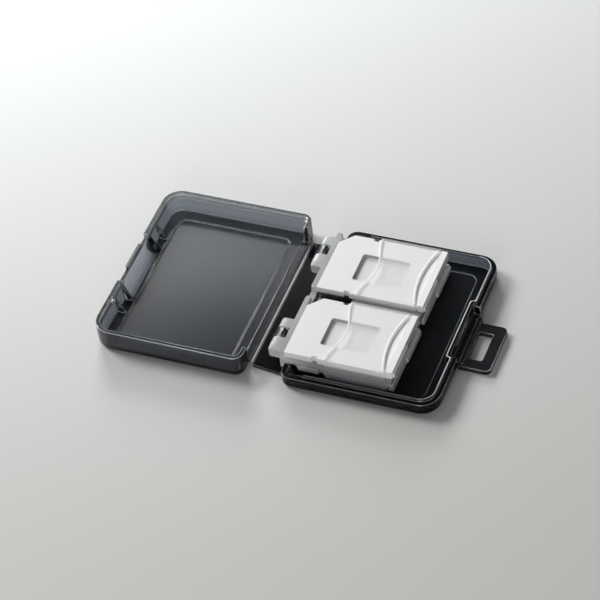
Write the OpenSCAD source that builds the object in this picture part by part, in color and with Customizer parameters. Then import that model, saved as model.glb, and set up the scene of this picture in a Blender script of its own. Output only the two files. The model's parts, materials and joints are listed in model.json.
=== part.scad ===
// Folding case for memory cards, lying open. A shallow base and a deeper lid are joined by a
// narrow spine, which stands up as the back wall when the case is shut. A two-column page of
// card pockets turns on two pins that snap into clips on the spine. Millimetres, +Z up. The
// origin is under the middle of the open case, X runs from the lid to the base, and Y runs
// along the folds.

/* [Case shells] */
// Width of both shells along the folds
case_w = 64; // [62:1:76]
// Length of each shell from its hinge side to its free wall
case_l = 49.2; // [49:0.2:60]
// Outer height of the base
base_h = 4.6; // [4.4:0.1:6]
// Outer height of the lid
lid_h = 8; // [7.8:0.1:10]
// Thickness of both floors
floor_t = 1.2; // [1:0.1:1.4]
// Thickness of the outer lip on the rims
lip_t = 1.3; // [1.1:0.1:1.4]
// Width of the ledge inside the outer lip
ledge_w = 0.6; // [0.5:0.1:0.8]
// Depth of the step inside the lid's rim
step_h = 1.2; // [1:0.1:1.5]
// Height of the base's tongue above its rim
tongue_h = 0.9; // [0.6:0.1:0.9]
// Radius of the upright corners beside the free walls
corner_r = 6; // [4.5:0.5:7]
// Radius of the upright corners beside the folds
hinge_r = 3.2; // [2.8:0.1:4]
// Radius of the lower outside edges
edge_r = 1.6; // [1:0.1:2]
// Height of the low curb on the open hinge side
curb_h = 1.45; // [1.4:0.05:1.5]
// Distance from the outer walls to the sunk panel in each floor
panel_inset = 5.7; // [5:0.1:7]
// Depth of the sunk panel in each floor
panel_d = 0.3; // [0.2:0.05:0.4]
// Radius of the sunk panel's corners
panel_r = 3; // [2:0.5:4]

/* [Folds and spine] */
// Height of the two fold axes
fold_z = 0.9; // [0.8:0.05:1]
// Distance from a fold axis to the hinge side of a shell
fold_set = 0.45; // [0.4:0.05:0.6]
// Distance from a fold axis to the edge of the spine
web_w = 0.8; // [0.6:0.1:1]
// Thickness of the thin webs that fold
web_t = 0.3; // [0.2:0.05:0.4]
// Thickness of the spine
spine_t = 0.9; // [0.7:0.05:0.9]
// Length of the spine along the fold beside the lid
spine_len_lid = 53.4; // [50:0.2:54]
// Length of the spine along the fold beside the base
spine_len_base = 55.6; // [52:0.2:57]
// Gap left between the two rims when shut
seam = 0.2; // [0.15:0.05:0.4]

/* [Latch] */
// Width of the recess in the lid's free wall
latch_w = 20.6; // [18:0.2:24]
// Width of the recess in the base's free wall
notch_w = 21.6; // [21:0.2:25]
// Gap left between the lid's set-back wall and the base's when shut
latch_gap = 0.1; // [0.08:0.01:0.15]
// How far the foot of that wall slopes inwards below the rim
latch_slope = 3; // [2:0.1:3.2]
// Width of the latch tongue
tongue_w = 10.4; // [8:0.2:14]
// How far the latch tongue stands above the lid's rim
tongue_rise = 1.1; // [0.9:0.05:1.2]
// Thickness of the latch tongue
latch_t = 1.2; // [1:0.05:1.3]
// How far the snap bead stands proud of the tongue
bead_d = 0.3; // [0.25:0.05:0.35]
// Height of the snap bead
bead_h = 0.5; // [0.4:0.05:0.6]
// How far the bead reaches into its slot when shut
snap_bite = 0.12; // [0.1:0.01:0.15]
// How far the base's wall is set back at the recess
notch_d = 2.1; // [2.1:0.05:2.4]
// Thickness of the base's wall at the recess
notch_t = 1.2; // [1.1:0.1:1.3]
// Height of the shelf under the base's recess
shelf_z = 2.2; // [2:0.1:2.4]
// Thickness of the two ribs beside the lid's recess
rib_t = 0.8; // [0.6:0.1:1.2]
// Distance of each rib from the middle of the lid
rib_y = 16.6; // [15.5:0.1:19]
// Reach of each rib along the lid's floor
rib_l = 3.2; // [2:0.1:3.4]

/* [Strap loop] */
// Reach of the loop from the base's wall
loop_l = 10; // [9:0.2:14]
// Width of the loop
loop_w = 18.6; // [17:0.2:22]
// Thickness of the loop
loop_t = 1.8; // [1.4:0.1:2]
// Length of the hole across the loop
hole_w = 11.2; // [8:0.2:11.6]
// Width of the hole
hole_l = 4.4; // [4.4:0.1:4.8]
// Distance from the base's wall to the hole
hole_x = 2; // [1.6:0.1:2.4]
// Offset of the loop from the middle of the base
loop_y = -2.1; // [-3:0.1:0]
// Depth of the thicker root of the loop
root_l = 1.3; // [1:0.1:1.4]
// Width of the thicker root
root_w = 19.3; // [18:0.1:20]
// Offset of the root from the middle of the base
root_y = -0.65; // [-0.8:0.05:-0.2]
// Radius of the loop's outer corners
loop_r = 1.8; // [1:0.1:2.2]
// Radius of the hole's corners
hole_r = 0.6; // [0.4:0.1:1]

/* [Page] */
// Distance from the base's fold axis back to the page's pins
pin_back = 4.4; // [4.4:0.1:5.2]
// Distance from the pins to the trays' cut ends
page_reach = 4.9; // [4.8:0.1:5.6]
// Thickness of the wall at the page's near end
end_t = 1.65; // [1.2:0.05:1.7]
// Gap between that wall and the trays
end_gap = 0.1; // [0.05:0.05:0.2]
// How far that wall stays below the face of the trays
end_drop = 0.15; // [0.1:0.05:0.4]
// Gap between the two columns of cards
column_gap = 4; // [3.6:0.1:5]
// Thickness of the plate between the upper and lower trays
plate_t = 2.6; // [2:0.1:2.6]
// Width of the bars that link the columns
link_w = 2.2; // [1.8:0.1:2.4]
// Distance from the page's near end to the solid half between the columns
link_gap = 12.2; // [11:0.1:14]
// Thickness of the pocket covers
cover_t = 0.45; // [0.35:0.05:0.45]
// Thickness of the pockets' side walls
side_t = 0.4; // [0.3:0.05:0.5]
// Distance from the page's near end to the ends of each cover's wavy edge
wave_x = 12.7; // [11:0.1:16]
// Depth of the wavy edge
wave_d = 2.5; // [1:0.1:3]
// Depth of the thumb scoop in each cover
scoop_d = 2.3; // [1:0.1:3]
// Clearance over and beside a sliding tray
slide_gap = 0.1; // [0.08:0.01:0.15]
// Gap between the page and the base's floor
rest_gap = 0.35; // [0.3:0.01:0.5]

/* [Card trays] */
// Width of a tray
card_w = 24; // [23:0.1:24.4]
// Length of a tray without its grip
card_l = 32; // [30:0.1:32.2]
// Thickness of a tray
card_t = 2.1; // [1.9:0.1:2.2]
// Length of the cut corner
cut_l = 4; // [3:0.1:5]
// Length of the small card's recess
small_l = 15.3; // [15.2:0.1:16]
// Width of the small card's recess
small_w = 11.2; // [11.1:0.1:12]
// Depth of the small card's recess
small_d = 1; // [0.7:0.1:1.2]
// Distance from the tray's cut end to the recess
small_x = 9.3; // [8:0.1:11]
// Offset of the recess across the tray
small_y = -0.5; // [-1:0.1:1]
// Radius of the recess's corners
small_r = 0.8; // [0.4:0.1:1]
// Distance from the cut end to the side notches
nick_x = 10.4; // [9:0.1:12]
// Length of a side notch
nick_l = 1.6; // [1.2:0.1:2.4]
// Depth of a side notch
nick_d = 0.8; // [0.5:0.1:1]
// Length of the grip on a tray's outer end
grip_l = 2.2; // [1.6:0.1:2.4]
// Extra reach of the finger tab on the grip
tab_l = 0.6; // [0.4:0.1:0.8]
// Width of the finger tab
tab_w = 12; // [9:0.1:15]
// Width of the groove between a tray and its grip
groove_w = 0.3; // [0.2:0.05:0.5]

/* [Page hinges] */
// Radius of the pins
pin_r = 0.85; // [0.7:0.05:0.95]
// Running clearance round the pins
pin_gap = 0.05; // [0.02:0.01:0.08]
// Radius of the ears on the page
ear_r = 1.6; // [1.5:0.05:1.8]
// Outer radius of the clips on the spine
clip_r = 1.9; // [1.8:0.05:2.1]
// Width of a clip along the fold
clip_w = 3.2; // [2:0.1:4]
// Gap between a clip and the ears beside it
ear_gap = 0.5; // [0.3:0.05:0.8]
// Width of the mouth of a clip
mouth_w = 1.3; // [1.1:0.05:1.4]
// Width of each ear on the far side of its clip
ear_far_w = 3.6; // [3:0.1:4]
// Width of each ear on the near side of its clip
ear_near_w = 5.6; // [5:0.1:6.6]
// Length of the slanted corner of each near ear
ear_cut = 2.4; // [1.5:0.1:3]
// Depth of the slanted corner of each near ear
ear_slant = 0.7; // [0.3:0.1:0.8]
// Place of the near clip along the fold
clip_near_y = -16.6; // [-17:0.1:-15.6]
// Place of the far clip along the fold
clip_far_y = 19.65; // [18:0.05:19.8]

/* [Hidden] */
eps = 0.01;
// The wall beside the opening on the hinge side is cut clear by this much
over = 0.4;
// Distance from the end of the latch tongue to the start of its bead
bead_tip = 0.15;
// Room left round the bead in its slot
slot_gap = 0.15;
// Gap between the bead on a fold axis and the shell's thin edge
web_gap = 0.1;
// Distance from the pin's ends to the ends of its ears
pin_tip = 0.3;
// The page's plate ends this far inside the trays' grips
plate_back = 0.4;
smoke = [0.2, 0.22, 0.25, 0.85];
milk = [0.9, 0.91, 0.92];
white = [0.96, 0.96, 0.96];

// Each shell's inner wall stands behind its lip and ledge
wall_t = lip_t + ledge_w;
// The spine is as wide as the shut case is deep between the fold axes
spine_span = base_h + lid_h + seam - 2 * fold_z;
total_l = 2 * case_l + spine_span + 2 * fold_set + loop_l;

// Places along X, from the lid's free wall to the base's
lid_x0 = -total_l / 2;
lid_x1 = lid_x0 + case_l;
lid_fold_x = lid_x1 + fold_set;
base_fold_x = lid_fold_x + spine_span;
base_x0 = base_fold_x + fold_set;
base_x1 = base_x0 + case_l;
open_w = case_w - 2 * corner_r + 0.8;

// The page lies level with its pins, just clear of the base's floor
tray_z = plate_t / 2 + slide_gap / 2;
cover_z = tray_z + card_t + slide_gap / 2;
page_half_t = cover_z + cover_t;
pin_z = floor_t + rest_gap + page_half_t;
pin_x = base_fold_x - pin_back;
page_x0 = pin_x + page_reach;
end_x0 = page_x0 - end_gap - end_t;
page_x1 = page_x0 + card_l;
column_y = (column_gap + card_w) / 2;
pocket_half_w = card_w / 2 + slide_gap + side_t;
plate_l = card_l + grip_l - plate_back;
wave_steps = 24;
scoop_half_w = pocket_half_w - side_t;
scoop_r = (pow(scoop_half_w, 2) + pow(scoop_d, 2)) / (2 * scoop_d);

// The lid's set-back wall stands just outside the base's when shut, and the tongue between
latch_back = notch_d - latch_gap - latch_t;
tongue_back = notch_d - bead_d + snap_bite - latch_t;
bead_z = base_h + seam - tongue_rise + bead_tip;

// Plan of a plate from x0 to x1, centred on the X axis, with corners of radius r0 at x0 and
// r1 at x1
module rounded_plan(x0, x1, w, r0, r1) {
    translate([x0 + r0, -w / 2]) square([x1 - x0 - r0 - r1, w]);
    translate([x0, -w / 2 + r0]) square([r0 + eps, w - 2 * r0]);
    translate([x1 - r1 - eps, -w / 2 + r1]) square([r1 + eps, w - 2 * r1]);
    for (side = [-1, 1]) {
        translate([x0 + r0, side * (w / 2 - r0)]) circle(r0, $fn = 48);
        translate([x1 - r1, side * (w / 2 - r1)]) circle(r1, $fn = 48);
    }
}

// Upright corner post of radius r with a rounded foot
module corner_post(r, h) {
    rotate_extrude($fn = 32)
        polygon(concat(
            [[0, 0]],
            [for (a = [0 : 22.5 : 90])
                [r - edge_r + edge_r * sin(a), edge_r - edge_r * cos(a)]],
            [[r, h], [0, h]]));
}

// Solid block of a shell with rounded corners and lower edges
module shell_block(x0, h, r0, r1) {
    hull()
        for (side = [-1, 1]) {
            translate([x0 + r0, side * (case_w / 2 - r0), 0]) corner_post(r0, h);
            translate([x0 + case_l - r1, side * (case_w / 2 - r1), 0]) corner_post(r1, h);
        }
}

// Plan of a shell's outline, set in from its walls
module inset_plan(x0, inset, r0, r1) {
    rounded_plan(x0 + inset, x0 + case_l - inset, case_w - 2 * inset, r0 - inset, r1 - inset);
}

// Box given by its low corner and its high corner
module span(low, high) {
    translate(low) cube(high - low);
}

// Hollow shell, open on its hinge side at x_hinge, with a sunk panel in the floor
module shell(x0, h, x_hinge, r0, r1) {
    difference() {
        shell_block(x0, h, r0, r1);
        difference() {
            translate([0, 0, floor_t]) linear_extrude(h) inset_plan(x0, wall_t, r0, r1);
            // Low curb along the hinge side
            span([x_hinge - wall_t - over, -case_w / 2, 0],
                 [x_hinge + wall_t + over, case_w / 2, curb_h]);
        }
        span([x_hinge - wall_t - eps, -open_w / 2, curb_h],
             [x_hinge + wall_t + eps, open_w / 2, h + 1]);
        translate([0, 0, floor_t - panel_d])
            linear_extrude(panel_d + eps)
                rounded_plan(x0 + panel_inset, x0 + case_l - panel_inset,
                    case_w - 2 * panel_inset, panel_r, panel_r);
    }
}

// Thin edge of a shell that reaches towards its fold axis
module shell_web(x0, x1) {
    span([x0, -spine_len_lid / 2 + 1, fold_z - web_t / 2],
         [x1, spine_len_lid / 2 - 1, fold_z + web_t / 2]);
}

module base_tray() color(smoke) {
    wall_x = base_x1 - notch_d;
    difference() {
        union() {
            shell(base_x0, base_h, base_x0, hinge_r, corner_r);
            // Tongue that the lid's stepped rim closes over, on the three free sides
            difference() {
                translate([0, 0, base_h - tongue_h])
                    linear_extrude(2 * tongue_h)
                        difference() {
                            inset_plan(base_x0, lip_t + seam, hinge_r, corner_r);
                            inset_plan(base_x0, wall_t, hinge_r, corner_r);
                        }
                span([base_x0 - 1, -case_w, 0], [base_x0 + 1.25 * corner_r, case_w, lid_h]);
            }
            // Inner wall behind the latch recess, as tall as the tongue
            span([wall_x - notch_t, -notch_w / 2 - notch_t, floor_t - eps],
                 [base_x1 - wall_t + eps, notch_w / 2 + notch_t, base_h + tongue_h]);
            // Filled foot under the recess, which carries the strap loop
            span([wall_x - notch_t, root_y - root_w / 2, 0],
                 [base_x1, root_y + root_w / 2, shelf_z]);
        }
        // Latch recess in the outside of the wall, down to the floor beyond the foot
        span([wall_x, -notch_w / 2, shelf_z], [base_x1 + 1, notch_w / 2, lid_h]);
        span([wall_x, root_y + root_w / 2, floor_t], [base_x1 + 1, notch_w / 2, shelf_z + eps]);
        // Slot for the bead of the latch tongue
        span([wall_x - snap_bite - slot_gap, -tongue_w / 2 - 2 * slot_gap, bead_z - slot_gap],
             [wall_x + eps, tongue_w / 2 + 2 * slot_gap, bead_z + bead_h + slot_gap]);
    }
    shell_web(base_fold_x + web_t / 2 + web_gap, base_x0 + corner_r);
}

module strap_loop() color(smoke) {
    difference() {
        union() {
            translate([0, loop_y, 0])
                linear_extrude(loop_t) {
                    rounded_plan(base_x1 + root_l, base_x1 + loop_l, loop_w, loop_r, loop_r);
                    translate([base_x1, -loop_w / 2]) square([loop_l / 2, loop_w]);
                }
            // Thicker root along the latch recess
            span([base_x1, root_y - root_w / 2, 0],
                 [base_x1 + root_l, root_y + root_w / 2, shelf_z]);
        }
        translate([0, loop_y, -1])
            linear_extrude(loop_t + 2)
                rounded_plan(base_x1 + hole_x, base_x1 + hole_x + hole_l, hole_w, hole_r,
                    hole_r);
    }
}

// Thin web with a round bead on its fold axis, reaching from there to the spine
module fold_web(x, side) {
    half = spine_len_lid / 2 - 1;
    translate([x, -half, fold_z])
        rotate([-90, 0, 0]) cylinder(r = web_t / 2, h = 2 * half, $fn = 24);
    span([min(x, x + side * web_w), -half, fold_z - web_t / 2],
         [max(x, x + side * web_w), half, fold_z + web_t / 2]);
}

module base_fold_web() color(smoke) fold_web(base_fold_x, -1);

module lid_fold_web() color(smoke) fold_web(lid_fold_x, 1);

module spine_panel() color(smoke) {
    translate([0, 0, fold_z + web_t / 2 - spine_t])
        linear_extrude(spine_t)
            polygon([
                [lid_fold_x + web_w, -spine_len_lid / 2],
                [base_fold_x - web_w, -spine_len_base / 2],
                [base_fold_x - web_w, spine_len_base / 2],
                [lid_fold_x + web_w, spine_len_lid / 2]]);
}

// Clip that stands on the spine and grips a pin from below
module page_clip(y) {
    foot_z = fold_z + web_t / 2;
    translate([pin_x, y + clip_w / 2, pin_z])
        rotate([90, 0, 0])
            linear_extrude(clip_w)
                difference() {
                    union() {
                        circle(clip_r, $fn = 48);
                        translate([-clip_r, foot_z - pin_z]) square([2 * clip_r, pin_z - foot_z]);
                    }
                    circle(pin_r + pin_gap, $fn = 48);
                    translate([-mouth_w / 2, 0]) square([mouth_w, clip_r + 1]);
                }
}

module page_clip_near() color(smoke) page_clip(clip_near_y);

module page_clip_far() color(smoke) page_clip(clip_far_y);

// Ends of a hinge along Y: [far end of the far ear, near end of the near ear]
function hinge_far(y) = y + clip_w / 2 + ear_gap + ear_far_w;
function hinge_near(y) = y - clip_w / 2 - ear_gap - ear_near_w;

module page_pin(y) {
    translate([pin_x, hinge_far(y) - pin_tip, pin_z])
        rotate([90, 0, 0])
            cylinder(r = pin_r, h = hinge_far(y) - hinge_near(y) - pin_tip - ear_cut, $fn = 48);
}

module page_pin_near() color(milk) page_pin(clip_near_y);

module page_pin_far() color(milk) page_pin(clip_far_y);

// Ear from y0 up to y1, joined to the page's end wall
module page_ear(y0, y1) {
    translate([pin_x, y1, pin_z])
        rotate([90, 0, 0])
            linear_extrude(y1 - y0) {
                circle(ear_r, $fn = 48);
                translate([0, -ear_r]) square([end_x0 - pin_x + eps, 2 * ear_r]);
            }
}

// Plan of the page's middle plate
module page_plan() {
    for (side = [-1, 1])
        translate([end_x0, side * column_y - card_w / 2])
            square([page_x0 + plate_l - end_x0, card_w]);
    for (x = [end_x0, page_x0 + plate_l - link_w])
        translate([x, -column_gap / 2 - eps]) square([link_w, column_gap + 2 * eps]);
    translate([page_x0 + link_gap, -column_gap / 2 - eps])
        square([card_l - link_gap, column_gap + 2 * eps]);
    // Wider stretch that carries the pockets' side walls
    translate([page_x0 + wave_x, -column_y - pocket_half_w])
        square([card_l - wave_x, 2 * (column_y + pocket_half_w)]);
}

module page_frame() color(milk) {
    end_half_t = tray_z + card_t - end_drop;
    difference() {
        union() {
            translate([0, 0, pin_z - plate_t / 2])
                linear_extrude(plate_t) page_plan();
            // Walls that the trays' cut ends stop against
            for (side = [-1, 1])
                translate([end_x0, side * column_y - card_w / 2, pin_z - end_half_t])
                    cube([end_t, card_w, 2 * end_half_t]);
            for (y = [clip_near_y, clip_far_y]) {
                page_ear(y + clip_w / 2 + ear_gap, hinge_far(y));
                page_ear(hinge_near(y), y - clip_w / 2 - ear_gap);
            }
        }
        for (y = [clip_near_y, clip_far_y]) {
            // Bore for the pin, closed at its near end
            translate([pin_x, hinge_far(y) + eps, pin_z])
                rotate([90, 0, 0])
                    cylinder(r = pin_r + pin_gap,
                        h = hinge_far(y) - hinge_near(y) - ear_cut + pin_gap, $fn = 48);
            // Slanted outer corner of the near ear
            translate([pin_x - ear_r, hinge_near(y), pin_z - ear_r - 1])
                linear_extrude(2 * ear_r + 2)
                    polygon([[-1, ear_cut + ear_cut / ear_slant], [0, ear_cut],
                        [ear_slant, 0], [ear_slant, -1], [-1, -1]]);
        }
    }
}

// Wavy inner edge of a pocket cover: one smooth bulge towards the grip end
function wave(t) = wave_x + wave_d * (1 - cos(360 * t)) / 2;

// Plan of a pocket cover, from its wavy edge to its thumb scoop
module cover_plan() {
    difference() {
        polygon(concat(
            [for (i = [0 : wave_steps])
                [wave(i / wave_steps), -pocket_half_w + 2 * pocket_half_w * i / wave_steps]],
            [[card_l, pocket_half_w], [card_l, -pocket_half_w]]));
        translate([card_l - scoop_d + scoop_r, 0]) circle(scoop_r, $fn = 128);
    }
}

// Pocket above the plate: two side walls that stand on it, and the cover
module pocket() {
    translate([0, 0, cover_z]) linear_extrude(cover_t) cover_plan();
    for (side = [-1, 1])
        translate([wave_x, side * (pocket_half_w - side_t / 2) - side_t / 2, plate_t / 2])
            cube([card_l - wave_x, side_t, cover_z - plate_t / 2 + eps]);
}

// Tray shaped like a full-size card, with a recess for a small card and a raised grip
module tray() {
    deck_z = tray_z;
    difference() {
        translate([0, 0, deck_z])
            union() {
                linear_extrude(card_t)
                    difference() {
                        polygon([[0, -card_w / 2], [card_l + grip_l, -card_w / 2],
                            [card_l + grip_l, card_w / 2], [cut_l, card_w / 2],
                            [0, card_w / 2 - cut_l]]);
                        for (side = [-1, 1])
                            translate([nick_x - (side < 0 ? nick_l : 0), side * card_w / 2])
                                translate([0, -nick_d]) square([nick_l, 2 * nick_d]);
                    }
                // Grip bar, level with the pocket cover, with its finger tab
                translate([card_l + groove_w, -card_w / 2, 0])
                    cube([grip_l - groove_w, card_w, card_t + slide_gap / 2 + cover_t]);
                translate([card_l + grip_l - eps, -card_w / 2 + 0.4, 0.3])
                    cube([tab_l + eps, tab_w, card_t - 0.3]);
            }
        // Recess for the small card
        translate([0, small_y, deck_z + card_t - small_d])
            linear_extrude(small_d + 1)
                rounded_plan(small_x, small_x + small_l, small_w, small_r, small_r);
        // Groove in front of the grip
        translate([card_l, -card_w, deck_z + card_t - 0.4])
            cube([groove_w, 2 * card_w, 1]);
    }
}

// Puts what belongs to one column on the page's upper or lower face
module on_page(side, face) {
    translate([page_x0, side * column_y, pin_z])
        rotate([face < 0 ? 180 : 0, 0, 0]) children();
}

module pocket_top_near() color(milk) on_page(-1, 1) pocket();

module pocket_top_far() color(milk) on_page(1, 1) pocket();

module pocket_bottom_near() color(milk) on_page(-1, -1) pocket();

module pocket_bottom_far() color(milk) on_page(1, -1) pocket();

module tray_top_near() color(white) on_page(-1, 1) tray();

module tray_top_far() color(white) on_page(1, 1) tray();

module tray_bottom_near() color(white) on_page(-1, -1) tray();

module tray_bottom_far() color(white) on_page(1, -1) tray();

// Runs a side view along Y between -w / 2 and w / 2
module along_y(w) {
    translate([0, w / 2, 0]) rotate([90, 0, 0]) linear_extrude(w) children();
}

module lid_cover() color(smoke) {
    back_x = lid_x0 + latch_back;
    difference() {
        union() {
            shell(lid_x0, lid_h, lid_x1, corner_r, hinge_r);
            // Block behind the latch recess, from the wall to the slope
            intersection() {
                shell_block(lid_x0, lid_h, corner_r, hinge_r);
                along_y(latch_w + 2 * latch_t)
                    polygon([
                        [lid_x0, lid_h], [back_x + latch_t, lid_h],
                        [back_x + latch_t, lid_h - step_h],
                        [back_x + latch_t + latch_slope, floor_t - eps],
                        [back_x + latch_t + latch_slope, 0], [lid_x0, 0]]);
            }
            // Ribs beside the recess
            for (side = [-1, 1])
                translate([0, side * rib_y, 0])
                    along_y(rib_t)
                        polygon([
                            [lid_x0 + wall_t - 0.2, floor_t - panel_d],
                            [lid_x0 + wall_t + rib_l, floor_t - panel_d],
                            [lid_x0 + wall_t + rib_l, floor_t],
                            [lid_x0 + wall_t, lid_h - step_h - 0.8],
                            [lid_x0 + wall_t - 0.2, lid_h - step_h - 0.8]]);
        }
        // Step inside the lip
        translate([0, 0, lid_h - step_h])
            linear_extrude(step_h + 1)
                difference() {
                    inset_plan(lid_x0, lip_t, corner_r, hinge_r);
                    translate([lid_x0, -latch_w / 2])
                        square([back_x + latch_t - lid_x0, latch_w]);
                }
        // Outside of the latch recess, sloping in towards the lid's floor
        along_y(latch_w)
            polygon([
                [lid_x0 - 1, lid_h + 1], [back_x, lid_h + 1], [back_x, lid_h - step_h],
                [back_x + latch_slope, -1], [lid_x0 - 1, -1]]);
    }
    shell_web(lid_x1 - corner_r, lid_fold_x - web_t / 2 - web_gap);
}

// Tongue on the lid's set-back rim, with a snap bead on its inner face. It stands a little
// outside that wall, so that it passes the base's.
module latch_tongue() color(smoke) {
    outer_x = lid_x0 + tongue_back;
    inner_x = outer_x + latch_t;
    top_z = lid_h + tongue_rise;
    along_y(tongue_w)
        polygon([
            [outer_x, lid_h], [outer_x, top_z], [inner_x, top_z], [inner_x, top_z - bead_tip],
            [inner_x + bead_d, top_z - bead_tip - bead_h / 2],
            [inner_x, top_z - bead_tip - bead_h], [inner_x, lid_h]]);
}

base_tray();
strap_loop();
base_fold_web();
spine_panel();
lid_fold_web();
page_clip_near();
page_clip_far();
page_pin_near();
page_pin_far();
page_frame();
pocket_top_near();
pocket_top_far();
pocket_bottom_near();
pocket_bottom_far();
tray_top_near();
tray_top_far();
tray_bottom_near();
tray_bottom_far();
lid_cover();
latch_tongue();
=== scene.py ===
import json
from math import cos, pi, radians, sin

import bmesh
import bpy
import numpy as np
from mathutils import Matrix, Vector


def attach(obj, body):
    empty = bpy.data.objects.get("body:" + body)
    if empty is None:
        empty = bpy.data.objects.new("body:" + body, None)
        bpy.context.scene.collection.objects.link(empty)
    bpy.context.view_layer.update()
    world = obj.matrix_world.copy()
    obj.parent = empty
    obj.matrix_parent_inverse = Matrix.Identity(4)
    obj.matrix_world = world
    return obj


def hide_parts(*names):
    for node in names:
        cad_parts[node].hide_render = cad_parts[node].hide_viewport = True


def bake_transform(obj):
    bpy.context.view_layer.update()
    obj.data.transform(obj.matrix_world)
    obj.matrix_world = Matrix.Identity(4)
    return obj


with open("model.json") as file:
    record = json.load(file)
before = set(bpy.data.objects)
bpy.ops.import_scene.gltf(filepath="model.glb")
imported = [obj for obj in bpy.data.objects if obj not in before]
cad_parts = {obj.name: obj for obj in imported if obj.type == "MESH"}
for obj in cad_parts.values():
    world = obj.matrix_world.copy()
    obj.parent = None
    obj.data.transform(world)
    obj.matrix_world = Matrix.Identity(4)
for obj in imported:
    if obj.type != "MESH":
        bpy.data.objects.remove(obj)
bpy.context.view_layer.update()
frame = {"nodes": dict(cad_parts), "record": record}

# Sizes and places are in millimetres unless a comment says otherwise, and meshes are in metres
MM = 0.001

RECORD = frame["record"]
BODY_OF = {node: body for body, nodes in RECORD["behaviour"]["bodies"].items() for node in nodes}
SLOT_OF = {part["node"]: part["material_slot"] for part in RECORD["subparts"]}
JOINT_AT = {joint["name"]: [round(place / MM, 3) for place in joint["pos_m"]]
            for joint in RECORD["behaviour"]["joints"] if "pos_m" in joint}

# The two folds, where each fold's film ends on the spine and on its shell, and half the films' length
LID_FOLD_X, BASE_FOLD_X = JOINT_AT["lid_fold"][0], JOINT_AT["spine_fold"][0]
FOLD_Z = JOINT_AT["lid_fold"][2]
LID_FILM, BASE_FILM = (-9.7, -10.95), (-0.3, 0.95)
FILM_HALF = 25.7
# The height of the axis that the page turns on
PIN_Z = JOINT_AT["page_flip"][2]

# The page: where its pockets start, their length, and how far its two columns lie from the middle
PAGE_X0, CARD_L, COLUMN_Y = 1.0, 32.0, 14.0
# A pocket's cover: its top face, half its width, its side walls, its wavy edge and its thumb scoop
COVER_TOP, COVER_HALF, SIDE_T = 9.45, 12.5, 0.4
WAVE_X, WAVE_D, SCOOP_D = 12.7, 2.5, 2.3
SCOOP_HALF = COVER_HALF - SIDE_T
SCOOP_R = (SCOOP_HALF ** 2 + SCOOP_D ** 2) / (2 * SCOOP_D)
# The rims on a cover: half their width and their height, how far in from the wavy edge its rim lies, and how
# far each rim stops short of the pocket's sides
WAVE_RIM, SCOOP_RIM = (0.26, 0.05), (0.42, 0.11)
WAVE_IN, WAVE_SHORT, SCOOP_SHORT = 0.30, 0.3, 0.5

# The small card's recess in a tray: its ends along X, half its width, and its offset across the tray
RECESS_X0, RECESS_X1, RECESS_HALF, RECESS_Y = 10.2, 25.7, 5.72, -0.5
# Heights from the page's middle: the recess's floor, where its walls begin, and just under the tray's top
RECESS_FLOOR, RECESS_WALL, TRAY_TOP = 2.45, 2.60, 3.30
# Where a tray runs in under its cover, and is painted lighter there to make up for the cover's shade
UNDER_COVER = (13.8, 16.5)

# The clear window in the page between its columns, painted dark as shade: its ends along X, half its width,
# and its lowest face
WINDOW_X0, WINDOW_X1, WINDOW_HALF, WINDOW_Z, WINDOW_SOFT = 1.2, 12.4, 3.2, 3.7, 0.4

# The fine bead on the inner edge of the base's tongue, which carries a painted highlight: half its width and
# its height
BEAD_HALF, BEAD_RISE = 0.17, 0.06
TONGUE_X, TONGUE_Y, TONGUE_R = 48.25 + BEAD_HALF, 30.1 + BEAD_HALF, 4.1 + BEAD_HALF
TONGUE_TOP, TONGUE_START = 5.5, 26.0
# Beside the latch the tongue's wall stands further in, and the bead slants over to it and back
LATCH_X, LATCH_HALF, SLANT_HALF = 46.85 + BEAD_HALF, 12.0 - BEAD_HALF, 0.3


# Shapes

def new_piece(name, points, faces, smooth_under=32):
    """A mesh object from an array of points in metres and a list of faces. Faces that turn by less than
    smooth_under degrees at their shared edge are shaded as one."""
    mesh = bpy.data.meshes.new(name)
    mesh.from_pydata(np.asarray(points, float).tolist(), [], faces)
    mesh.validate()
    mesh.shade_smooth()
    mesh.set_sharp_from_angle(angle=radians(smooth_under))
    piece = bpy.data.objects.new(name, mesh)
    bpy.context.scene.collection.objects.link(piece)
    return piece


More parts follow.
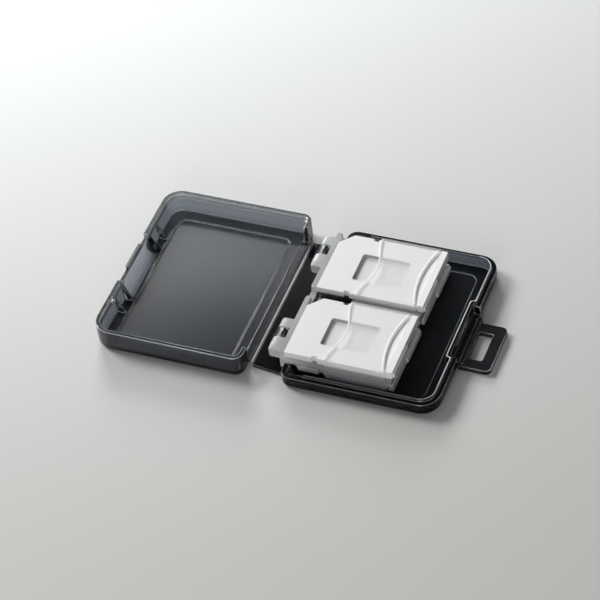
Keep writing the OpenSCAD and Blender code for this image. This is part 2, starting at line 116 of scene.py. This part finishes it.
def moulded_copy(node, name, edge, whole, steps=2, turn=30):
    """The skin of a moulded piece: the node's own triangles, joined where their corners meet, with flat
    runs made one face where it is whole. Each edge that turns by more than `turn` degrees is then rounded
    over `edge` millimetres in `steps`. On a whole piece the rounded faces take the second finish."""
    data = frame["nodes"][node].data
    corners = np.empty(len(data.vertices) * 3)
    data.vertices.foreach_get("co", corners)
    corners = corners.reshape(-1, 3)
    loops = np.empty(len(data.loops), int)
    data.loops.foreach_get("vertex_index", loops)
    join_within = 2e-7
    key = np.round(corners / join_within).astype(np.int64)
    _, first, same = np.unique(key, axis=0, return_index=True, return_inverse=True)
    tri = same.reshape(-1)[loops].reshape(-1, 3)
    tri = tri[(tri[:, 0] != tri[:, 1]) & (tri[:, 1] != tri[:, 2]) & (tri[:, 2] != tri[:, 0])]
    bm = bmesh.new()
    verts = [bm.verts.new(point) for point in corners[first].tolist()]
    for a, b, c in tri.tolist():
        try:
            bm.faces.new((verts[a], verts[b], verts[c]))
        except ValueError:
            # The same triangle twice
            pass
    if whole:
        bmesh.ops.dissolve_limit(bm, angle_limit=radians(0.6), verts=bm.verts, edges=bm.edges)
    mesh = bpy.data.meshes.new(name)
    bm.to_mesh(mesh)
    bm.free()
    mesh.shade_smooth()
    mesh.set_sharp_from_angle(angle=radians(turn))
    piece = bpy.data.objects.new(name, mesh)
    bpy.context.scene.collection.objects.link(piece)
    bevel = piece.modifiers.new("rounded_edges", "BEVEL")
    bevel.width = edge * MM
    bevel.segments = steps
    bevel.limit_method = "ANGLE"
    bevel.angle_limit = radians(turn)
    bevel.use_clamp_overlap = False
    bevel.loop_slide = False
    bevel.material = 1 if whole else -1
    even = piece.modifiers.new("flat_faces_stay_flat", "WEIGHTED_NORMAL")
    even.keep_sharp = True
    return piece


def tube_faces(rows, around):
    """Faces of a closed tube whose points are `rows` rings of `around` points: a four-sided face between
    each pair of neighbours on one ring and the next, and a face over each end."""
    row, place = np.meshgrid(np.arange(rows - 1), np.arange(around), indexing="ij")
    a = (row * around + place).ravel()
    b = (row * around + (place + 1) % around).ravel()
    first_end = list(range(around))
    last_end = [(rows - 1) * around + i for i in range(around)][::-1]
    return np.stack([a, a + around, b + around, b], 1).tolist() + [first_end, last_end]


def strip_along_fold(name, outline, rows=24):
    """A closed strip: an outline of (x, z), counter-clockwise seen from -Y, carried along Y from -FILM_HALF
    to FILM_HALF in equal rows."""
    y = np.linspace(-FILM_HALF, FILM_HALF, rows)
    grid = np.empty((rows, len(outline), 3))
    grid[..., 0] = outline[None, :, 0]
    grid[..., 1] = y[:, None]
    grid[..., 2] = outline[None, :, 1]
    return new_piece(name, grid.reshape(-1, 3) * MM, tube_faces(rows, len(outline)))


def low_bead(path, half, rise, sink=0.06, across=9):
    """Points and faces of a low rounded bead on a level face: at each point of the path, an arch of half an
    ellipse, half wide and rise high, across the path, closed by a level underside `sink` below the face."""
    path = np.asarray(path, float)
    along = np.gradient(path, axis=0)
    along /= np.linalg.norm(along, axis=1)[:, None]
    side = np.stack([along[:, 1], -along[:, 0]], 1)
    angle = np.linspace(0, pi, across)
    arch = np.stack([half * np.cos(angle), rise * np.sin(angle)], 1)
    ring = np.concatenate([arch, [[-half, -sink], [half, -sink]]])
    grid = np.empty((len(path), len(ring), 3))
    grid[..., :2] = path[:, None, :] + side[:, None, :] * ring[None, :, :1]
    grid[..., 2] = ring[None, :, 1]
    return grid.reshape(-1, 3), tube_faces(len(path), len(ring))


# Finishes

class Socket:
    """One socket in a finish. Arithmetic on it adds Math nodes, and `node` puts in any other kind."""

    def __init__(self, tree, end=None):
        self.tree, self.end = tree, end

    def node(self, kind, settings=None, out=0, **ends):
        """Adds a node of a kind, with its settings made first, then its sockets filled by name, with spaces
        written as underscores, or by number, as i0 or i1. Returns the socket `out`."""
        made = self.tree.nodes.new(kind)
        for what, value in (settings or {}).items():
            setattr(made, what, value)
        for where, value in ends.items():
            by_number = where[0] == "i" and where[1:].isdigit()
            socket = made.inputs[int(where[1:]) if by_number else where.replace("_", " ")]
            if isinstance(value, Socket):
                self.tree.links.new(value.end, socket)
            else:
                socket.default_value = value
        return Socket(self.tree, made.outputs[out] if len(made.outputs) else None)

    def math(self, how, a, b=0.0):
        return self.node("ShaderNodeMath", {"operation": how}, i0=a, i1=b)

    def __add__(self, other):
        return self.math("ADD", self, other)

    def __sub__(self, other):
        return self.math("SUBTRACT", self, other)

    def __rsub__(self, other):
        return self.math("SUBTRACT", other, self)

    def __mul__(self, other):
        return self.math("MULTIPLY", self, other)

    def __abs__(self):
        return self.math("ABSOLUTE", self)

    __radd__ = __add__
    __rmul__ = __mul__

    def step(self, low, high, start=0.0, end=1.0):
        """Start below low and end above high, with a smooth rise between them."""
        return self.node("ShaderNodeMapRange", {"interpolation_type": "SMOOTHSTEP"}, Value=self,
                         From_Min=low, From_Max=high, To_Min=start, To_Max=end)

    def along(self, low, high, start=0.0, end=1.0):
        """The same step for a place on the piece, with low and high in millimetres."""
        return self.step(low * MM, high * MM, start, end)

    def within(self, low, high, soft):
        """1 between two places and 0 outside them, with edges `soft` millimetres wide."""
        rise = self.along(low - soft / 2, low + soft / 2)
        return rise * self.along(high - soft / 2, high + soft / 2, 1.0, 0.0)

    def below(self, high, soft):
        """1 below a place and 0 above it, with an edge `soft` millimetres wide."""
        return self.along(high - soft / 2, high + soft / 2, 1.0, 0.0)

    def blend_colours(self, first, second):
        """First where this socket is 0 and second where it is 1, for colours of three parts or sockets. A
        Mix node has its colours at sockets 6 and 7 and at output 2."""
        first, second = [(*c, 1) if isinstance(c, tuple) else c for c in (first, second)]
        return self.node("ShaderNodeMix", {"data_type": "RGBA"}, out=2, i0=self, i6=first, i7=second)

    def bump(self, strength, depth):
        """A bump with this socket as its height, `depth` millimetres deep."""
        return self.node("ShaderNodeBump", Strength=strength, Distance=depth * MM, Height=self)


def finish(name, paint, tint=None, **plain):
    """A finish: a Principled shader whose plain sockets are set straight away, and whose varied ones come
    from paint(place, xyz), which returns them by name. Place is the piece's own coordinates in metres. tint
    is the colour and the strength per metre with which a see-through finish darkens light on its way."""
    made = bpy.data.materials.new(name)
    made.use_nodes = True
    tree = made.node_tree
    tree.nodes.clear()
    start = Socket(tree)
    # Output 3 is Object
    place = start.node("ShaderNodeTexCoord", out=3)
    parts = start.node("ShaderNodeSeparateXYZ", Vector=place).end.node
    varied = paint(place, [Socket(tree, parts.outputs[i]) for i in range(3)])
    ends = {"Surface": start.node("ShaderNodeBsdfPrincipled", **plain, **varied)}
    if tint:
        ends["Volume"] = start.node("ShaderNodeVolumeAbsorption", Color=(*tint[0], 1), Density=tint[1])
    start.node("ShaderNodeOutputMaterial", **ends)
    return made


def grain(place, scale, detail, stretch=None):
    """Fine noise on the piece, in lumps of about 1/scale metres, drawn out along an axis where stretch has
    less than 1."""
    if stretch:
        place = place.node("ShaderNodeVectorMath", {"operation": "MULTIPLY"}, i0=place, i1=stretch)
    return place.node("ShaderNodeTexNoise", {"noise_dimensions": "3D"}, Vector=place, Scale=scale,
                      Detail=detail, Roughness=0.55)


def smoke_plastic(place, xyz):
    """Smoke-grey see-through polypropylene: slow clouding from the flow of the melt, the soft waves of a
    polished mould, rubbed patches and hairline scratches. The floor is painted darker than the walls as
    painted shade, and carries a painted sheen that darkens toward the near side."""
    cloud = grain(place, 55, 3)
    waves = grain(place, 60, 1)
    scratches = grain(place, 900, 1, (0.05, 1.0, 1.0)).step(0.68, 0.74)
    rubbed = waves.step(0.55, 0.80)
    floor_cloud_and_shade = cloud.blend_colours((0.56, 0.58, 0.61), (0.63, 0.65, 0.68))
    # Painted sheen: the floor is lighter toward the far side and darker toward the near side
    floor_cloud_and_shade = xyz[1].along(-24, 16).blend_colours((0.41, 0.43, 0.47), floor_cloud_and_shade)
    # Painted shade: the floor is tinted darker than the walls
    colour = xyz[2].along(1.1, 2.6).blend_colours(floor_cloud_and_shade, (0.97, 0.98, 1.0))
    roughness = 0.17 + rubbed * 0.04 + scratches * 0.03
    return {"Base_Color": colour, "Roughness": roughness, "Normal": waves.bump(0.01, 0.2)}


def edge_highlight_paint(place, xyz):
    """The polished edge of the smoke plastic, its colour a painted highlight: brightest round the lid's rim,
    less round the base's, and dim near the floor."""
    base_rim_highlight = xyz[2].along(1.6, 5.0, 0.0, 0.32)
    lid_rim_highlight = xyz[2].along(6.0, 7.8, 0.0, 0.68)
    # Painted highlight on the rims, stronger at the lid's height than at the base's, with a faint random
    # break-up
    painted_highlight = (base_rim_highlight + lid_rim_highlight) * grain(place, 260, 2).step(0.30, 0.70, 0.94, 1.0)
    colour = painted_highlight.blend_colours((0.045, 0.048, 0.053), (0.47, 0.49, 0.53))
    roughness = xyz[2].along(1.5, 2.0, 0.55, 0.15) + grain(place, 900, 1) * 0.05
    return {"Base_Color": colour, "Roughness": roughness}


def gleam_plastic(place, xyz):
    """A painted highlight on the tongue's inner edge: brightest beside the latch, dim on the near
    wall."""
    bright = xyz[1].along(-30.5, -19.0) * xyz[0].along(30, 46, 0.3, 1.0)
    bright = bright * grain(place, 300, 2).step(0.30, 0.70, 0.85, 1.0)
    colour = bright.blend_colours((0.04, 0.043, 0.048), (0.58, 0.60, 0.64))
    return {"Base_Color": colour, "Roughness": 0.18 + grain(place, 900, 1) * 0.05}


def clear_plastic(place, xyz):
    """Milky half-clear polypropylene, a little whiter where the melt clouds, with a satin grain. Between
    the columns of the page it is painted dark, as painted shade for the shaded base under it."""
    cloud = grain(place, 120, 3)
    fine = grain(place, 6000, 2)
    milky = cloud.blend_colours((0.95, 0.96, 0.97), (0.985, 0.99, 0.995))
    x, y, z = xyz
    window = x.within(WINDOW_X0, WINDOW_X1, WINDOW_SOFT) * abs(y).below(WINDOW_HALF, WINDOW_SOFT)
    window = window * z.along(WINDOW_Z - WINDOW_SOFT / 2, WINDOW_Z + WINDOW_SOFT / 2)
    # Painted shade: the window is painted dark for the shaded base under it
    colour = window.blend_colours(milky, (0.03, 0.032, 0.036))
    return {"Base_Color": colour, "Roughness": 0.16 + fine * 0.06, "Normal": fine.bump(0.04, 0.03)}


def cover_plastic(place, xyz):
    """The same plastic as thin as a pocket's cover: a white haze over what is under it."""
    cloud = grain(place, 120, 3)
    fine = grain(place, 6000, 2)
    colour = cloud.blend_colours((0.96, 0.965, 0.97), (0.99, 0.99, 0.99))
    return {"Base_Color": colour, "Roughness": 0.28 + fine * 0.08, "Normal": fine.bump(0.05, 0.03)}


def tray_plastic(place, xyz):
    """Opaque satin white, with a fine eroded grain and slight handling marks. It is painted lighter under
    the cover to make up for the cover's shade, and painted darker in the small card's recess as painted
    shade."""
    cloud = grain(place, 150, 3)
    fine = grain(place, 7000, 2)
    marks = grain(place, 420, 3, (0.25, 1, 1)).step(0.6, 0.8)
    white = cloud.blend_colours((0.80, 0.80, 0.795), (0.84, 0.84, 0.835))
    marked = (marks * 0.10).blend_colours(white, (0.74, 0.74, 0.73))
    x, y, z = xyz
    # Painted light: the tray is lighter where the cover's shade falls on it
    painted_light_under_cover = x.along(*UNDER_COVER).blend_colours(marked, (0.93, 0.93, 0.925))
    height = abs(z - PIN_Z * MM)
    across = abs(abs(y - RECESS_Y * MM) - COLUMN_Y * MM)
    inside = x.within(RECESS_X0, RECESS_X1, 0.04) * across.below(RECESS_HALF, 0.04)
    inside = inside * height.below(TRAY_TOP - 0.05, 0.1)
    # Painted shade in the small card's recess, deeper on its walls than on its floor
    shade = inside * height.along(RECESS_FLOOR, RECESS_WALL, 0.14, 0.50)
    colour = shade.blend_colours(painted_light_under_cover, (0.10, 0.10, 0.105))
    roughness = 0.40 + fine * 0.12 + marks * 0.06
    return {"Base_Color": colour, "Roughness": roughness, "Normal": fine.bump(0.08, 0.03)}


def film_plastic(place, xyz):
    """The smoke plastic where it is worked thin and bent, with a painted highlight: a narrow white line
    along each fold's crease, fainter on the base's fold.
    """
    from_lid = abs(xyz[0] - LID_FOLD_X * MM)
    from_base = abs(xyz[0] - BASE_FOLD_X * MM)
    # Painted highlight along each fold line, full on the lid's fold and 0.3 as bright on the base's
    crease = from_lid.along(0.04, 0.13, 1.0, 0.0) + from_base.along(0.04, 0.13, 0.3, 0.0)
    highlight_grain = grain(place, 500, 3, (1, 0.3, 1)).step(0.25, 0.7)
    colour = (crease * (0.6 + 0.4 * highlight_grain)).blend_colours((0.035, 0.038, 0.043), (0.85, 0.87, 0.90))
    fine = grain(place, 4000, 2)
    roughness = 0.16 + fine * 0.1 + crease * 0.2
    return {"Base_Color": colour, "Roughness": roughness, "Normal": fine.bump(0.1, 0.04)}


def smoke(name, per_metre, ior):
    """The see-through smoke plastic, with how fast it darkens light, per metre, and its refractive index."""
    return finish(name, smoke_plastic, ((0.04, 0.09, 0.17), per_metre), Transmission_Weight=1.0, IOR=ior)


SMOKE = smoke("smoke_polypropylene", 620, 1.47)
THICK_SMOKE = smoke("thick_smoke_polypropylene", 900, 1.30)
SPINE_SMOKE = smoke("spine_smoke_polypropylene", 2500, 1.22)
EDGE_HIGHLIGHT = finish("smoke_edge_painted_highlight", edge_highlight_paint, IOR=2.2, Alpha=0.75)
GLEAM = finish("tongue_edge_painted_highlight", gleam_plastic, IOR=1.8)
FILM = finish("thin_smoke_film", film_plastic, IOR=1.49)
MILKY = finish("milky_polypropylene", clear_plastic, Transmission_Weight=0.68, IOR=1.49)
PIN = finish("milky_pin", cover_plastic, Alpha=0.92, IOR=1.49)
COVER = finish("milky_thin_cover", cover_plastic, Alpha=0.26, IOR=1.49)
RIM = finish("milky_thick_rim", cover_plastic, Alpha=0.85, IOR=1.49)
TRAY = finish("satin_white_tray", tray_plastic, IOR=1.49)


def wears(piece, slot, body, *finishes):
    """Gives a piece its finishes and its body. Its slot is not used."""
    for made in finishes:
        piece.data.materials.append(made)
    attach(piece, body)


# Moulded pieces

# By the start of their nodes' names: how far their edges are rounded, their finish, and the finish of their
# rounded edges where it differs, which on the smoke pieces is a painted highlight
MOULDED = {
    "base_tray": (0.16, THICK_SMOKE, EDGE_HIGHLIGHT), "strap_loop": (0.18, SMOKE, EDGE_HIGHLIGHT),
    "spine_panel": (0.12, SPINE_SMOKE, EDGE_HIGHLIGHT), "lid_cover": (0.26, SMOKE, EDGE_HIGHLIGHT),
    "latch_tongue": (0.12, SMOKE, EDGE_HIGHLIGHT), "page_clip": (0.12, THICK_SMOKE, EDGE_HIGHLIGHT),
    "page_pin": (0.08, PIN), "page_frame": (0.12, MILKY), "pocket": (0.08, COVER), "tray": (0.05, TRAY),
}
for start_of_name, (edge, *finishes) in MOULDED.items():
    for node, slot in SLOT_OF.items():
        if node.startswith(start_of_name):
            moulding = moulded_copy(node, node + "_moulding", edge, whole=EDGE_HIGHLIGHT in finishes)
            wears(moulding, slot, BODY_OF[node], *finishes)
            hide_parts(node)


# The rims, and the bead that carries a painted highlight

def cover_rims(name, column, upper):
    """The rounded rims of one pocket's cover: a fine one along the wavy edge, x = start + depth *
    (1 - cos) / 2 over the pocket's width, and a broad one round the thumb scoop, an arc about the scoop's
    own centre."""
    half, rise = WAVE_RIM
    short = WAVE_SHORT / (2 * COVER_HALF)
    t = np.linspace(short, 1 - short, 61)
    wavy = np.stack([PAGE_X0 + WAVE_X + WAVE_D * (1 - np.cos(2 * pi * t)) / 2 + WAVE_IN,
                     column - COVER_HALF + 2 * COVER_HALF * t], 1)
    points, faces = low_bead(wavy, half, rise)

    half, rise = SCOOP_RIM
    radius = SCOOP_R + half
    reach = np.arcsin((SCOOP_HALF - SCOOP_SHORT) / radius)
    angle = np.linspace(-reach, reach, 49)
    scoop = np.stack([PAGE_X0 + CARD_L - SCOOP_D + SCOOP_R - radius * np.cos(angle),
                      column + radius * np.sin(angle)], 1)
    more_points, more_faces = low_bead(scoop, half, rise)

    faces += [[k + len(points) for k in face] for face in more_faces]
    points = np.concatenate([points, more_points])
    points[:, 2] += COVER_TOP
    if not upper:
        points[:, 2] = 2 * PIN_Z - points[:, 2]
        faces = [face[::-1] for face in faces]
    wears(new_piece(name, points * MM, faces, 50), "clear_page", "page", RIM)


for column, where in ((-COLUMN_Y, "near"), (COLUMN_Y, "far")):
    cover_rims(f"cover_rims_top_{where}", column, True)
    cover_rims(f"cover_rims_bottom_{where}", column, False)


def tongue_highlight_bead(name):
    """A fine bead along the inner edge of the base's tongue, which carries a painted highlight: along the
    near wall, round the corner by a quarter circle, past the latch, where the wall stands further in, and
    round the far corner."""
    corner_x, corner_y, before_corner = TONGUE_X - TONGUE_R, TONGUE_R - TONGUE_Y, 0.5
    out = np.linspace(TONGUE_START, corner_x - before_corner, 10)
    start = np.stack([out, np.full_like(out, -TONGUE_Y)], 1)
    turn = np.linspace(0, pi / 2, 13)
    corner = np.stack([corner_x + TONGUE_R * np.sin(turn), corner_y - TONGUE_R * np.cos(turn)], 1)
    up = np.linspace(corner_y + before_corner, -LATCH_HALF - SLANT_HALF, 8)
    wall = np.stack([np.full_like(up, TONGUE_X), up], 1)
    beside = np.linspace(-LATCH_HALF + SLANT_HALF, LATCH_HALF - SLANT_HALF, 12)
    latch = np.stack([np.full_like(beside, LATCH_X), beside], 1)
    far_side = np.concatenate([start[-1:], corner, wall])[::-1] * (1, -1)
    path = np.concatenate([start, corner, wall, latch, far_side])
    points, faces = low_bead(path, BEAD_HALF, BEAD_RISE)
    points[:, 2] += TONGUE_TOP
    wears(new_piece(name, points * MM, faces, 50), "smoke_shell", "base", GLEAM)


tongue_highlight_bead("tongue_bead_painted_highlight")


# The folds

def fold_film(name, fold, spine_side, shell_side, shell, node):
    """A living hinge: a strip from the spine's edge to the shell's, 0.3 mm thick at both ends and thinned
    from above to 0.2 mm at the fold by a cosine hollow, carried along the fold."""
    half_thick, hollow, hollow_reach = 0.15, 0.10, 0.55
    x = np.sort(spine_side + (shell_side - spine_side) * np.linspace(0, 1, 25))
    near = np.clip(1 - np.abs(x - fold) / hollow_reach, 0, 1)
    top = FOLD_Z + half_thick - hollow * (1 - np.cos(pi * near)) / 2
    low = np.full_like(x, FOLD_Z - half_thick)
    outline = np.concatenate([np.stack([x, low], 1), np.stack([x[::-1], top[::-1]], 1)])
    film = strip_along_fold(name, outline)
    film.data.materials.append(FILM)
    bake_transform(film)
    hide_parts(node)


fold_film("base_fold_film", BASE_FOLD_X, *BASE_FILM, "base", "base_fold_web")
fold_film("lid_fold_film", LID_FOLD_X, *LID_FILM, "lid", "lid_fold_web")


# Floor

FLOOR_HALF, FLOOR_Z = 4000, -0.04


def floor_paint(place, xyz):
    """Pale card, with painted light: brightest behind the case on the left."""
    # Painted light: a gradient lighter behind the case on the left
    away = xyz[1] * 0.9 - xyz[0] * 0.45
    colour = away.along(-120, 200).blend_colours((0.655, 0.655, 0.63), (0.80, 0.81, 0.82))
    return {"Base_Color": colour, "Roughness": 0.65 + grain(place, 900, 2) * 0.05}


floor_corners = np.array([(-1, -1), (1, -1), (1, 1), (-1, 1)]) * FLOOR_HALF
floor = new_piece("floor", np.column_stack([floor_corners, np.full(4, FLOOR_Z)]) * MM, [(0, 1, 2, 3)])
floor.data.materials.append(finish("pale_card", floor_paint, Specular_IOR_Level=0.2))


# Room and lamps

ROOM_COLOUR, ROOM_STRENGTH = (1.0, 0.985, 0.96), 0.12
# Each square soft box's place in metres, its side in metres, its watts and its colour
LAMPS = {
    "window_box": ((-0.25, 0.31, 0.25), 0.20, 0.40, (0.97, 0.99, 1.0)),
    "edge_box": ((-0.33, 0.35, 0.20), 0.10, 0.22, (0.97, 0.99, 1.0)),
    "key_box": ((-0.85, 0.22, 0.66), 0.42, 8.4, (0.99, 1.0, 1.0)),
    "back_box": ((-0.45, 0.82, 0.34), 0.34, 4.8, (0.98, 0.99, 1.0)),
    "front_box": ((0.12, -0.95, 0.24), 0.5, 3.2, (1.0, 0.99, 0.98)),
}

world = bpy.data.worlds.new("room")
bpy.context.scene.world = world
world.use_nodes = True
world.node_tree.nodes["Background"].inputs["Color"].default_value = (*ROOM_COLOUR, 1)
world.node_tree.nodes["Background"].inputs["Strength"].default_value = ROOM_STRENGTH

for name, (at, side, watts, colour) in LAMPS.items():
    light = bpy.data.lights.new(name, "AREA")
    light.shape = "SQUARE"
    light.size = side
    light.energy = watts
    light.color = colour
    lamp = bpy.data.objects.new(name, light)
    lamp.location = at
    lamp.rotation_euler = (-Vector(at)).to_track_quat("-Z", "Y").to_euler()
    bpy.context.scene.collection.objects.link(lamp)


# Camera

# Its turns in degrees, its distance in millimetres, and the place that it looks at
AZIMUTH, ELEVATION, ROLL, DISTANCE = 26.38, 45.43, -8.07, 871.9
AIM = Vector((-5.76, 3.36, 0))
FOCAL_PIXELS, PICTURE_PIXELS, SENSOR_MM = 2844, 600, 36


def photo_camera():
    """The camera of the photograph, turned to its azimuth and elevation and rolled about its own axis."""
    a, e, t = radians(AZIMUTH), radians(ELEVATION), radians(ROLL)
    back = Vector((sin(a) * cos(e), -cos(a) * cos(e), sin(e)))
    level = Vector((cos(a), sin(a), 0))
    upright = back.cross(level)
    right = cos(t) * level + sin(t) * upright
    up = cos(t) * upright - sin(t) * level
    at = (AIM + back * DISTANCE) * MM
    data = bpy.data.cameras.new("camera")
    data.sensor_fit = "HORIZONTAL"
    data.sensor_width = SENSOR_MM
    data.lens = FOCAL_PIXELS * SENSOR_MM / PICTURE_PIXELS
    data.clip_start, data.clip_end = 0.02, 50
    camera = bpy.data.objects.new("camera", data)
    bpy.context.scene.collection.objects.link(camera)
    camera.matrix_world = Matrix([(right[i], up[i], back[i], at[i]) for i in range(3)] + [(0, 0, 0, 1)])
    bpy.context.scene.camera = camera


photo_camera()
bpy.context.scene.view_settings.view_transform = "Standard"
